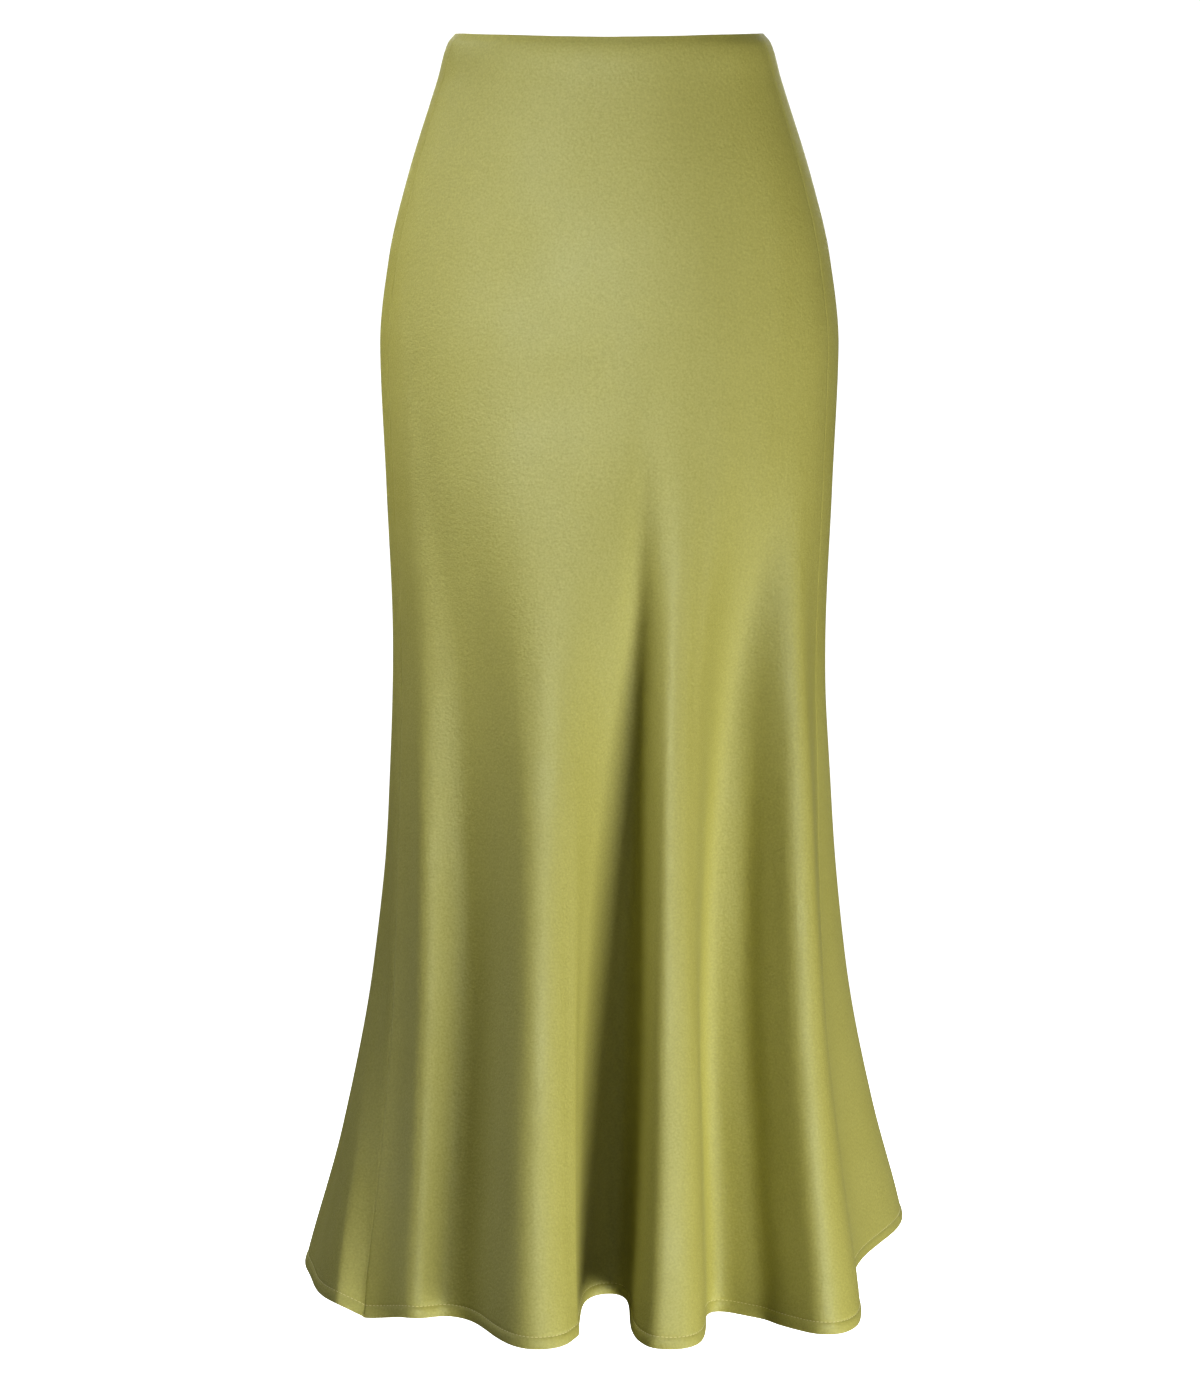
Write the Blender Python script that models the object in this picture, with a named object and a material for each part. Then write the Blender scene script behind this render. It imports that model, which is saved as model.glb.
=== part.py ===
"""Mermaid fishtail skirt, worn and hollow, as closed solids.

The skirt is a tube of cloth open at the waist and at the hem. A front panel and a back panel meet at two side
seams, and each panel's lower edge is turned up inside. Every point of the cloth comes from one formula:

* a smooth oval envelope, read from SECTIONS, which passes over the crests of the folds at each height;
* FOLDS, one row for each crest and trough round the skirt. Above the height where a fold starts, its anchor
  lies on the envelope. Below it, the anchor turns to its bearing at the hem and moves in by its inset;
* in plan, the cloth runs from anchor to anchor as a cubic curve that leaves each one in the row's direction,
  and bends there the more sharply, the smaller the row's roundness is.

Metres, +Z up. The origin is the middle of the waist opening, level with the top of the side seams, and the
front faces -Y. Bearings are degrees from the middle of the front, growing towards +X.
"""

from collections import namedtuple

import bpy
import numpy as np

# ---------------------------------------------------------------- driving sizes
LENGTH = 0.920            # waist edge to hem, straight down
CLOTH = 0.0012            # thickness of a panel's wall
GAP = 0.0003              # clearance between pieces that are sewn together
HEM_TURNING = 0.008       # depth of the turned-up hem
HEM_CLOTH = 0.0010        # thickness of the turned-up layer
WAIST_CURVE = 0.0023      # how far the waist edge rises from the middle of the front and back to the sides
WAIST_RISE = 0.0016       # the part of that rise which stands above the origin
FOLD_EASE = 0.15          # share of a fold's length over which it starts to open
SHARPENING = 3.0          # how much sooner a fold's roundness is reached than its hem

COLUMNS_PER_FOLD = 8      # faces from one anchor to the next, along the hem
FINE_PER_COLUMN = 8       # finer steps on which the curve is worked out and eased
EASING = 0.07             # spread of the easing along the hem, as a share of the step between anchors

Section = namedtuple("Section", "name drop half_width half_depth back steps")
SECTIONS = [
    #       name            drop   half_width half_depth  back  steps
    Section("waist edge",   0.000, 0.1117, 0.0840, 0.000, 1),
    Section("turned edge",  0.006, 0.1168, 0.0880, 0.000, 1),
    Section("waist",        0.030, 0.1243, 0.0940, 0.002, 2),
    Section("high hip",     0.100, 0.1470, 0.1100, 0.006, 2),
    Section("upper hip",    0.160, 0.1618, 0.1187, 0.010, 2),
    Section("hip",          0.225, 0.1691, 0.1232, 0.012, 3),
    Section("thigh",        0.330, 0.1655, 0.1232, 0.010, 2),
    Section("knee",         0.443, 0.1613, 0.1217, 0.006, 2),
    Section("calf",         0.565, 0.1662, 0.1300, 0.002, 3),
    Section("flare",        0.690, 0.1786, 0.1480, 0.000, 3),
    Section("sweep",        0.816, 0.2039, 0.1775, 0.000, 2),
    Section("hem stitch",   LENGTH - HEM_TURNING, 0.2323, 0.2074, 0.000, 1),
    Section("hem",          LENGTH, 0.2345, 0.2095, 0.000, 0),
]

Fold = namedtuple(
    "Fold", "name bearing_start bearing_hem bow inset start growth fullness roundness run hem_drop")
FOLDS = [
    #     name           bearing: start, hem  bow   inset   start growth full  round  run  hem_drop
    Fold("side_left",      -77.0,  -56.8, -3.1,  0.0114, 0.415, 0.97, 1.05, 0.82,  -23,  0.0101),
    Fold("ridge_1",        -66.6,  -45.6, -4.8,  0.0181, 0.321, 2.05, 1.00, 0.98,  -15,  0.0014),
    Fold("trough_1",       -55.2,  -40.8, -3.9,  0.0369, 0.288, 0.59, 1.11, 0.89,   -1,  0.0019),
    Fold("ridge_2",        -22.7,  -13.6, -2.6, -0.0015, 0.367, 1.20, 1.25, 1.03,    1,  0.0015),
    Fold("trough_2",        10.9,   -1.8,  2.0,  0.1141, 0.251, 1.02, 1.23, 0.79,   14, -0.0001),
    Fold("ridge_3",         23.9,   11.9,  1.8, -0.0040, 0.328, 1.21, 1.29, 1.06,    2,  0.0004),
    Fold("trough_3",        55.1,   36.5,  4.5,  0.0732, 0.274, 0.52, 1.06, 0.80,  -20,  0.0064),
    Fold("ridge_4",         65.4,   44.4,  2.3, -0.0217, 0.332, 0.41, 1.06, 0.83,   34,  0.0014),
    Fold("side_right",      75.4,   71.1,  0.1,  0.0376, 0.441, 2.23, 1.21, 1.07,   83, -0.0012),
    Fold("lobe_right",      92.0,  115.1,  0.0, -0.0235, 0.411, 1.96, 1.20, 1.00,  106, -0.0025),
    Fold("back_trough_1",  122.0,  132.0,  0.0,  0.0650, 0.340, 1.30, 1.10, 1.00,  132,  0.0000),
    Fold("back_ridge_1",   142.0,  149.0,  0.0,  0.0000, 0.400, 1.50, 1.10, 1.00,  149,  0.0000),
    Fold("back_trough_2",  162.0,  166.0,  0.0,  0.0800, 0.300, 1.30, 1.10, 1.00,  166,  0.0000),
    Fold("back_ridge_2",   182.0,  185.0,  0.0, -0.0040, 0.400, 1.50, 1.10, 1.00,  185,  0.0000),
    Fold("back_trough_3",  202.0,  205.0,  0.0,  0.0650, 0.320, 1.30, 1.10, 1.00,  205,  0.0000),
    Fold("back_ridge_3",   220.0,  223.0,  0.0,  0.0020, 0.400, 1.50, 1.10, 1.00,  223,  0.0000),
    Fold("back_trough_4",  240.0,  244.0,  0.0,  0.0600, 0.360, 1.30, 1.20, 1.00,  244,  0.0000),
    Fold("lobe_left",      263.4,  279.2,  0.0,  0.0003, 0.445, 1.80, 1.00, 1.00,  288,  0.0012),
    Fold("lobe_front",     275.7,  300.7, -1.7, -0.0083, 0.589, 1.46, 1.00, 1.00,  313, -0.0020),
]

SATIN_OUTSIDE = (0.41, 0.40, 0.135, 1.0)
SATIN_TURNING = (0.37, 0.36, 0.120, 1.0)
SATIN_ROUGHNESS = 0.42


# ---------------------------------------------------------------- the cloth's surface
def column(rows, field):
    """One named column of a table, as an array."""
    return np.array([getattr(row, field) for row in rows], dtype=float)


def smooth_between(heights, values, at):
    """Monotone cubic through (heights, values): it bends at the table's rows and never overshoots them."""
    step = np.diff(heights)
    slope = np.diff(values) / step
    tangent = np.zeros_like(values)
    same_way = slope[:-1] * slope[1:] > 0
    before = (2 * step[1:] + step[:-1])[same_way]
    after = (step[1:] + 2 * step[:-1])[same_way]
    mean = (before + after) / (before / slope[:-1][same_way] + after / slope[1:][same_way])
    tangent[1:-1][same_way] = mean
    tangent[0] = slope[0]
    tangent[-1] = slope[-1]
    k = np.clip(np.searchsorted(heights, at, side="right") - 1, 0, len(step) - 1)
    t = (at - heights[k]) / step[k]
    start, start_run, end, end_run = hermite(t)
    return (start * values[k] + start_run * step[k] * tangent[k]
            + end * values[k + 1] + end_run * step[k] * tangent[k + 1])


def hermite(t):
    """Weights of a cubic's start point, start direction, end point and end direction at t from 0 to 1."""
    return 2 * t**3 - 3 * t**2 + 1, t**3 - 2 * t**2 + t, -2 * t**3 + 3 * t**2, t**3 - t**2


def envelope_reach(bearing, half_width, half_depth):
    """Distance from the middle to the oval at a bearing in radians."""
    return 1 / np.sqrt((np.sin(bearing) / half_width) ** 2 + (np.cos(bearing) / half_depth) ** 2)


def anchors(drops):
    """Place, direction and opening of each fold's anchor at each drop: plan points, unit runs and shares."""
    half_width = smooth_between(column(SECTIONS, "drop"), column(SECTIONS, "half_width"), drops)[:, None]
    half_depth = smooth_between(column(SECTIONS, "drop"), column(SECTIONS, "half_depth"), drops)[:, None]
    start = column(FOLDS, "start")
    share = np.clip((drops[:, None] - start) / (LENGTH - start), 0, None)
    eased = share**2 * (1 + FOLD_EASE**2) / (share**2 + FOLD_EASE**2)
    opening = eased * share ** column(FOLDS, "growth")
    top = np.radians(column(FOLDS, "bearing_start"))
    hem = np.radians(column(FOLDS, "bearing_hem"))
    bow = np.radians(column(FOLDS, "bow")) * 4 * share * (1 - share)
    bearing = top + (hem - top) * share + bow
    oval = envelope_reach(bearing, half_width, half_depth)
    reach = oval - column(FOLDS, "inset") * opening
    place = np.stack([reach * np.sin(bearing), -reach * np.cos(bearing)], axis=-1)
    # the oval's own direction, from the slope of its reach, turning to the row's direction as the fold opens
    tilt = oval**2 * np.sin(bearing) * np.cos(bearing) * (1 / half_width**2 - 1 / half_depth**2)
    oval_run = bearing + np.arctan(tilt)
    turn = (np.radians(column(FOLDS, "run")) - oval_run + np.pi) % (2 * np.pi) - np.pi
    run = oval_run + turn * np.minimum(share, 1)
    direction = np.stack([np.cos(run), np.sin(run)], axis=-1)
    span = np.roll(bearing, -1, axis=1) - bearing
    span[:, -1] += 2 * np.pi
    return place, direction, span, share


def cloth_surface(drops, steps_per_fold):
    """Outer face of the cloth on a grid of drops by equal steps between anchors, closed round the skirt."""
    count = len(FOLDS)
    position = np.arange(count * steps_per_fold) / steps_per_fold
    here = np.floor(position).astype(int)
    following = (here + 1) % count
    place, direction, span, share = anchors(drops)
    chord = np.linalg.norm(np.roll(place, -1, axis=1) - place, axis=-1)
    round_arc = 2 * np.tan(np.abs(span) / 4) / np.sin(np.abs(span) / 2)
    fullness = round_arc + (column(FOLDS, "fullness") - 1) * np.minimum(share, 1)
    roundness = 1 + (column(FOLDS, "roundness") - 1) * np.minimum(share * SHARPENING, 1)
    leaving = (fullness * chord * roundness)[..., None] * direction
    arriving = (fullness * chord * np.roll(roundness, -1, axis=1))[..., None] * np.roll(direction, -1, axis=1)
    start, start_run, end, end_run = (weight[None, :, None] for weight in hermite(position - here))
    plan = (start * place[:, here] + start_run * leaving[:, here]
            + end * place[:, following] + end_run * arriving[:, here])
    plan[..., 1] += smooth_between(column(SECTIONS, "drop"), column(SECTIONS, "back"), drops)[:, None]
    lower = column(FOLDS, "hem_drop")
    hem_drop = start[0, :, 0] * lower[here] + end[0, :, 0] * lower[following]
    across = np.arctan2(plan[..., 0], -plan[..., 1])
    near_waist = np.clip(1 - drops / SECTIONS[3].drop, 0, 1)[:, None] ** 2
    waist_curve = (WAIST_RISE - WAIST_CURVE * np.cos(across) ** 2) * near_waist
    height = -drops[:, None] + waist_curve - hem_drop * (drops[:, None] / LENGTH) ** 4
    return ease_round(np.concatenate([plan, height[..., None]], axis=-1), EASING * steps_per_fold)


def ease_round(points, spread):
    """Gaussian running mean round the skirt, so that the folds' curves join without a change of bend."""
    count = points.shape[1]
    waves = np.fft.rfftfreq(count)
    weight = np.exp(-2 * (np.pi * spread * waves) ** 2)
    return np.fft.irfft(np.fft.rfft(points, axis=1) * weight[None, :, None], n=count, axis=1)


def outward_normals(points, drops):
    """Unit normals of the closed grid, pointing away from the wearer."""
    round_skirt = np.roll(points, -1, axis=1) - np.roll(points, 1, axis=1)
    down_skirt = np.gradient(points, drops, axis=0)
    normal = np.cross(down_skirt, round_skirt)
    return normal / np.linalg.norm(normal, axis=-1, keepdims=True)


def drop_rows():
    """Drops of the mesh rows: each section's own drop, with its number of equal steps to the next."""
    rows = [np.linspace(a.drop, b.drop, a.steps, endpoint=False) for a, b in zip(SECTIONS, SECTIONS[1:])]
    return np.append(np.concatenate(rows), LENGTH)


# ---------------------------------------------------------------- the pieces
def panel_grid(points, first, last):
    """Columns of the closed grid from one anchor to another, drawn back at both ends by half a seam's gap."""
    columns = np.arange(first * COLUMNS_PER_FOLD, last * COLUMNS_PER_FOLD + 1)
    grid = points[:, columns % points.shape[1]].copy()
    for end, beside in ((0, 1), (-1, -2)):
        back = grid[:, beside] - grid[:, end]
        grid[:, end] += back / np.linalg.norm(back, axis=-1, keepdims=True) * GAP / 2
    return grid


def wall_solid(name, outer, inner, material):
    """Closed solid between two grids of the same size: two faces and a rim round all four edges."""
    rows, columns = outer.shape[:2]
    outside = np.arange(rows * columns).reshape(rows, columns)
    inside = outside + rows * columns
    faces = []

    def strip(a, b, c, d):
        faces.extend(np.stack([a, b, c, d], axis=-1).reshape(-1, 4).tolist())

    strip(outside[:-1, :-1], outside[1:, :-1], outside[1:, 1:], outside[:-1, 1:])
    strip(inside[:-1, :-1], inside[:-1, 1:], inside[1:, 1:], inside[1:, :-1])
    strip(outside[0, :-1], outside[0, 1:], inside[0, 1:], inside[0, :-1])
    strip(outside[-1, 1:], outside[-1, :-1], inside[-1, :-1], inside[-1, 1:])
    strip(outside[1:, 0], outside[:-1, 0], inside[:-1, 0], inside[1:, 0])
    strip(outside[:-1, -1], outside[1:, -1], inside[1:, -1], inside[:-1, -1])
    mesh = bpy.data.meshes.new(name)
    mesh.from_pydata(np.concatenate([outer.reshape(-1, 3), inner.reshape(-1, 3)]).tolist(), [], faces)
    mesh.validate()
    mesh.shade_smooth()
    mesh.set_sharp_from_angle(angle=np.radians(50))
    mesh.materials.append(material)
    piece = bpy.data.objects.new(name, mesh)
    bpy.context.scene.collection.objects.link(piece)
    return piece


def satin(name, colour):
    """Principled material of the satin."""
    material = bpy.data.materials.new(name)
    material.use_nodes = True
    shader = material.node_tree.nodes["Principled BSDF"]
    shader.inputs["Base Color"].default_value = colour
    shader.inputs["Roughness"].default_value = SATIN_ROUGHNESS
    shader.inputs["Metallic"].default_value = 0.0
    return material


def build_skirt():
    """The two panels and their turned hems, hung from one empty at the waist."""
    drops = drop_rows()
    fine = cloth_surface(drops, COLUMNS_PER_FOLD * FINE_PER_COLUMN)
    normals = outward_normals(fine, drops)[:, ::FINE_PER_COLUMN]
    outer = fine[:, ::FINE_PER_COLUMN]
    layers = {depth: outer - normals * depth for depth in (0.0, CLOTH, CLOTH + GAP, CLOTH + GAP + HEM_CLOTH)}

    waist = bpy.data.objects.new("waist", None)
    bpy.context.scene.collection.objects.link(waist)
    cloth = satin("satin", SATIN_OUTSIDE)
    turning = satin("satin_turning", SATIN_TURNING)
    names = [fold.name for fold in FOLDS]
    left = names.index("side_left")
    right = names.index("side_right")
    hem_rows = slice(len(drops) - 2, None)
    for side, first, last in (("front", left, right), ("back", right, left + len(FOLDS))):
        grids = {depth: panel_grid(points, first, last) for depth, points in layers.items()}
        face, lining_side, hem_face, hem_inside = grids.values()
        pieces = (wall_solid(f"{side}_panel", face, lining_side, cloth),
                  wall_solid(f"hem_{side}", hem_face[hem_rows], hem_inside[hem_rows], turning))
        for piece in pieces:
            piece.parent = waist


def main():
    """Clear the scene and build the skirt."""
    for thing in list(bpy.data.objects):
        bpy.data.objects.remove(thing, do_unlink=True)
    build_skirt()


main()
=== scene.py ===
"""Mermaid fishtail skirt in olive-gold satin, dressed round its CAD frame.

The skirt is a hollow tube of cloth, worn and filled out: a front and a back panel, sewn at two side seams,
with the lower edge turned up and stitched. Every piece lies on one surface, `SkirtForm`: an oval that widens
from the waist to the hip and again to the hem, broken from the thigh down into soft vertical folds. The CAD
solids come from the same named sizes. Here the surface is finer, and it carries what sewing does to cloth:
small creases, the furrow of a seam, the roll of an edge, the puff of a turned hem and its stitches.

Metres, +Z up, origin in the middle of the waist opening, front facing -Y. Left and right are as seen from the
front, so that left is towards -X. Bearings are in degrees from the front towards the right.
"""

import logging
from dataclasses import dataclass, field
from enum import Enum

import bpy
import numpy as np
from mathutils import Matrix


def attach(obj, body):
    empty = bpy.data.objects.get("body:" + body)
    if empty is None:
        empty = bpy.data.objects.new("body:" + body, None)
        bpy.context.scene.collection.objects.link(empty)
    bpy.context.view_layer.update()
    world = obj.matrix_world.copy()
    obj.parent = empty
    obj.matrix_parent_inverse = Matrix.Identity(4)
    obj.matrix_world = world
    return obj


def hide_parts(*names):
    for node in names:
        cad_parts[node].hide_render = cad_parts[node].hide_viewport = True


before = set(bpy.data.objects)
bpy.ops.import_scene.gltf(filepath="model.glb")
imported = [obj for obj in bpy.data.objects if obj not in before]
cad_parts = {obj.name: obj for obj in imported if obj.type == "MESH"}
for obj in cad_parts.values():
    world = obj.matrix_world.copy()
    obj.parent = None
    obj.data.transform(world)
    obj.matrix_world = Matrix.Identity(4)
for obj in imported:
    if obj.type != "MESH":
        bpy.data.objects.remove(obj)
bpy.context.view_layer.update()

LOG = logging.getLogger("fishtail_skirt")
LENGTH = 0.920

Colour = tuple[float, float, float, float]
Grid = np.ndarray


class Side(Enum):
    """The skirt's two cut panels."""

    FRONT = "front"
    BACK = "back"


class Face(Enum):
    """The two faces of the cloth that stitches can lie on."""

    OUTSIDE = 1.0
    INSIDE = -1.0


@dataclass(frozen=True)
class Section:
    """One level of the oval that passes over the folds' crests, `drop` below the waist edge.

    `back` is how far the oval's middle lies behind the origin.
    """

    name: str
    drop: float
    half_width: float
    half_depth: float
    back: float


@dataclass(frozen=True)
class Fold:
    """One crest or trough of the cloth.

    It starts at `bearing_start`, `start` below the waist edge, strays by `bow` half way, and meets the hem at
    `bearing_hem`. There it lies `inset` inside the oval, the edge hangs `hem_drop` lower, and the cloth runs
    in the direction `run` in plan, in degrees from +X towards +Y. `growth` is how late it opens, `fullness`
    how far the cloth swings out between it and the next fold, and `roundness` how wide it turns at this one.
    """

    name: str
    bearing_start: float
    bearing_hem: float
    bow: float
    inset: float
    start: float
    growth: float
    fullness: float
    roundness: float
    run: float
    hem_drop: float


@dataclass(frozen=True)
class Crease:
    """A soft ridge (height above 0) or trough (below 0) along a line of the cloth.

    `top` and `foot` are its ends as (place round the skirt in folds, drop), and `bow` is how far its middle
    strays, in folds.
    """

    name: str
    top: tuple[float, float]
    foot: tuple[float, float]
    width: float
    height: float
    bow: float = 0.0


SECTIONS: tuple[Section, ...] = (
    Section("waist edge", 0.000, 0.1117, 0.0840, 0.000),
    Section("turned edge", 0.006, 0.1168, 0.0880, 0.000),
    Section("waist", 0.030, 0.1243, 0.0940, 0.002),
    Section("high hip", 0.100, 0.1470, 0.1100, 0.006),
    Section("upper hip", 0.160, 0.1618, 0.1187, 0.010),
    Section("hip", 0.225, 0.1691, 0.1232, 0.012),
    Section("thigh", 0.330, 0.1655, 0.1232, 0.010),
    Section("knee", 0.443, 0.1613, 0.1217, 0.006),
    Section("calf", 0.565, 0.1662, 0.1300, 0.002),
    Section("flare", 0.690, 0.1786, 0.1480, 0.000),
    Section("sweep", 0.816, 0.2039, 0.1775, 0.000),
    Section("hem stitch", 0.912, 0.2323, 0.2074, 0.000),
    Section("hem", 0.920, 0.2345, 0.2095, 0.000),
)

FOLDS: tuple[Fold, ...] = (
    Fold("side_left", -77.0, -56.8, -3.1, 0.0114, 0.415, 0.97, 1.05, 0.82, -23, 0.0101),
    Fold("ridge_1", -66.6, -45.6, -4.8, 0.0181, 0.321, 2.05, 1.00, 0.98, -15, 0.0014),
    Fold("trough_1", -55.2, -40.8, -3.9, 0.0369, 0.288, 0.59, 1.11, 0.89, -1, 0.0019),
    Fold("ridge_2", -22.7, -13.6, -2.6, -0.0015, 0.367, 1.20, 1.25, 1.03, 1, 0.0015),
    Fold("trough_2", 10.9, -1.8, 2.0, 0.1141, 0.251, 1.02, 1.23, 0.79, 14, -0.0001),
    Fold("ridge_3", 23.9, 11.9, 1.8, -0.0040, 0.328, 1.21, 1.29, 1.06, 2, 0.0004),
    Fold("trough_3", 55.1, 36.5, 4.5, 0.0732, 0.274, 0.52, 1.06, 0.80, -20, 0.0064),
    Fold("ridge_4", 65.4, 44.4, 2.3, -0.0217, 0.332, 0.41, 1.06, 0.83, 34, 0.0014),
    Fold("side_right", 75.4, 71.1, 0.1, 0.0376, 0.441, 2.23, 1.21, 1.07, 83, -0.0012),
    Fold("lobe_right", 92.0, 115.1, 0.0, -0.0235, 0.411, 1.96, 1.20, 1.00, 106, -0.0025),
    Fold("back_trough_1", 122.0, 132.0, 0.0, 0.0650, 0.340, 1.30, 1.10, 1.00, 132, 0.0000),
    Fold("back_ridge_1", 142.0, 149.0, 0.0, 0.0000, 0.400, 1.50, 1.10, 1.00, 149, 0.0000),
    Fold("back_trough_2", 162.0, 166.0, 0.0, 0.0800, 0.300, 1.30, 1.10, 1.00, 166, 0.0000),
    Fold("back_ridge_2", 182.0, 185.0, 0.0, -0.0040, 0.400, 1.50, 1.10, 1.00, 185, 0.0000),
    Fold("back_trough_3", 202.0, 205.0, 0.0, 0.0650, 0.320, 1.30, 1.10, 1.00, 205, 0.0000),
    Fold("back_ridge_3", 220.0, 223.0, 0.0, 0.0020, 0.400, 1.50, 1.10, 1.00, 223, 0.0000),
    Fold("back_trough_4", 240.0, 244.0, 0.0, 0.0600, 0.360, 1.30, 1.20, 1.00, 244, 0.0000),
    Fold("lobe_left", 263.4, 279.2, 0.0, 0.0003, 0.445, 1.80, 1.00, 1.00, 288, 0.0012),
    Fold("lobe_front", 275.7, 300.7, -1.7, -0.0083, 0.589, 1.46, 1.00, 1.00, 313, -0.0020),
)

CREASES: tuple[Crease, ...] = (
    Crease("left_seam_front_half", (0.0, 0.42), (0.0, 0.93), 0.0150, 0.0050),
    Crease("left_seam_back_half", (19.0, 0.42), (19.0, 0.93), 0.0150, 0.0050),
    Crease("crest_of_ridge_1", (1.05, 0.42), (1.20, 0.93), 0.0110, 0.0030),
    Crease("floor_of_trough_1", (1.75, 0.38), (1.85, 0.93), 0.0110, -0.0016),
    Crease("crest_of_ridge_2", (3.02, 0.40), (2.98, 0.93), 0.0160, 0.0018),
    Crease("edge_of_ridge_2", (3.40, 0.50), (3.33, 0.95), 0.0055, 0.0018),
    Crease("start_of_trough_2", (4.02, 0.25), (4.22, 0.66), 0.0100, -0.0034),
    Crease("crest_of_ridge_3", (4.88, 0.30), (4.90, 0.93), 0.0075, 0.0020),
    Crease("beside_ridge_3", (5.25, 0.27), (5.20, 0.70), 0.0060, -0.0010),
    Crease("floor_of_trough_3", (6.30, 0.40), (6.30, 0.93), 0.0120, -0.0035),
    Crease("crest_of_ridge_4", (6.93, 0.38), (6.82, 0.93), 0.0140, 0.0034),
    Crease("left_hip_drag", (1.10, 0.17), (1.75, 0.40), 0.0120, -0.0007, 0.05),
    Crease("right_hip_drag", (6.95, 0.10), (6.10, 0.33), 0.0140, -0.0008, -0.06),
    Crease("left_thigh", (2.55, 0.36), (2.70, 0.66), 0.0080, -0.0006),
    Crease("back_hip_left", (14.6, 0.14), (13.9, 0.36), 0.0130, -0.0009, 0.06),
    Crease("back_hip_right", (11.1, 0.12), (11.8, 0.34), 0.0130, -0.0008, -0.05),
    Crease("back_edge_1", (11.45, 0.40), (11.30, 0.93), 0.0060, 0.0012),
    Crease("back_crest_1", (11.00, 0.42), (11.00, 0.93), 0.0130, 0.0022),
    Crease("back_edge_2", (13.40, 0.44), (13.28, 0.94), 0.0060, 0.0012),
    Crease("back_crest_2", (13.00, 0.42), (13.00, 0.93), 0.0130, 0.0022),
    Crease("back_floor_3", (14.00, 0.36), (14.00, 0.93), 0.0110, -0.0026),
    Crease("back_edge_3", (14.62, 0.38), (14.75, 0.90), 0.0060, -0.0009),
    Crease("lobe_crease", (9.35, 0.45), (9.20, 0.86), 0.0075, -0.0012),
)


def column(rows: tuple, name: str) -> np.ndarray:
    """One named column of a table as an array.

    Args:
        rows: the table's rows.
        name: the field to read from each.

    Returns:
        The field's values, in the rows' order.
    """
    return np.array([getattr(row, name) for row in rows], dtype=float)


def cubic_weights(t: np.ndarray) -> tuple[np.ndarray, np.ndarray, np.ndarray, np.ndarray]:
    """Weights of a cubic's start, start direction, end and end direction.

    Args:
        t: position from 0 at the start to 1 at the end.

    Returns:
        The four weights at each position.
    """
    return 2 * t**3 - 3 * t**2 + 1, t**3 - 2 * t**2 + t, -2 * t**3 + 3 * t**2, t**3 - t**2


def smooth_between(heights: np.ndarray, values: np.ndarray, at: np.ndarray) -> np.ndarray:
    """Monotone cubic through a table, each inner slope the weighted harmonic mean of the slopes beside it.

    Args:
        heights: where the values stand, growing.
        values: the values there.
        at: where to read the curve.

    Returns:
        The curve's values.
    """
    step = np.diff(heights)
    slope = np.diff(values) / step
    tangent = np.zeros_like(values)
    same_way = slope[:-1] * slope[1:] > 0
    before = (2 * step[1:] + step[:-1])[same_way]
    after = (step[1:] + 2 * step[:-1])[same_way]
    tangent[1:-1][same_way] = (before + after) / (before / slope[:-1][same_way] + after / slope[1:][same_way])
    tangent[0], tangent[-1] = slope[0], slope[-1]
    k = np.clip(np.searchsorted(heights, at, side="right") - 1, 0, len(step) - 1)
    start, start_run, end, end_run = cubic_weights((at - heights[k]) / step[k])
    bend = start_run * step[k] * tangent[k] + end_run * step[k] * tangent[k + 1]
    return start * values[k] + end * values[k + 1] + bend


def bell(distance: np.ndarray, width: float) -> np.ndarray:
    """Soft bump: 1 at distance 0, falling to a third at `width` and to nothing at twice that."""
    return np.exp(-((distance / width) ** 2))


def soft_step(x: np.ndarray, low: float, high: float) -> np.ndarray:
    """Smooth ramp from 0 at `low` to 1 at `high`."""
    t = np.clip((x - low) / (high - low), 0, 1)
    return t * t * (3 - 2 * t)


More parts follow.
